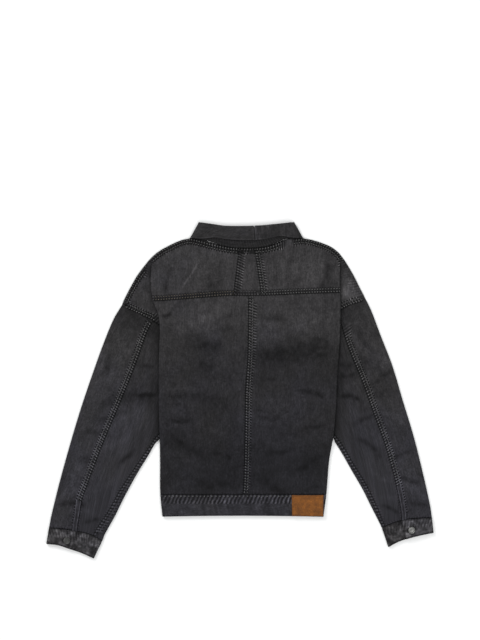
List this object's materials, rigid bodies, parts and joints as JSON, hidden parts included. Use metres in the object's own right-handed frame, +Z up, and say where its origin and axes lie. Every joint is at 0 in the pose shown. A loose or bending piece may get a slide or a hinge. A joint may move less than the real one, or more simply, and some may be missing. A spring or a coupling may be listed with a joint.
{
  "type": "denim jacket",
  "caption": "Washed-black denim trucker jacket laid flat on its front with its back up, with a folded collar, buttoned cuffs, a waistband and a leather waist patch.",
  "frame": {"origin": "the middle of the jacket's box, on the surface that it lies on", "axes": "+X to the right and +Y towards the collar as the back is seen, +Z up out of the back"},
  "size_m": [0.8914, 0.7742, 0.0115],
  "materials": {
    "denim": "washed black cotton twill, matt, lighter at worn seams",
    "leather": "plain tan leather, satin, darker at its edges",
    "button_metal": "dull pewter, slightly worn"
  },
  "bodies": {
    "root": {"back_yoke_left": "denim", "back_yoke_centre": "denim", "back_yoke_right": "denim", "back_panel_left": "denim", "back_panel_right": "denim", "front_left": "denim", "front_right": "denim", "front_placket": "denim", "sleeve_outer_left": "denim", "sleeve_outer_right": "denim", "sleeve_inner_left": "denim", "sleeve_inner_right": "denim", "sleeve_placket_left": "denim", "sleeve_placket_right": "denim", "waistband": "denim", "cuff_left": "denim", "cuff_right": "denim", "collar_stand": "denim", "collar_leaf_left": "denim", "collar_leaf_right": "denim", "waist_patch": "leather", "cuff_button_left": "button_metal", "cuff_button_right": "button_metal", "front_button_1": "button_metal", "front_button_2": "button_metal", "front_button_3": "button_metal", "front_button_4": "button_metal", "front_button_5": "button_metal", "waist_button": "button_metal"}
  },
  "joints": []
}
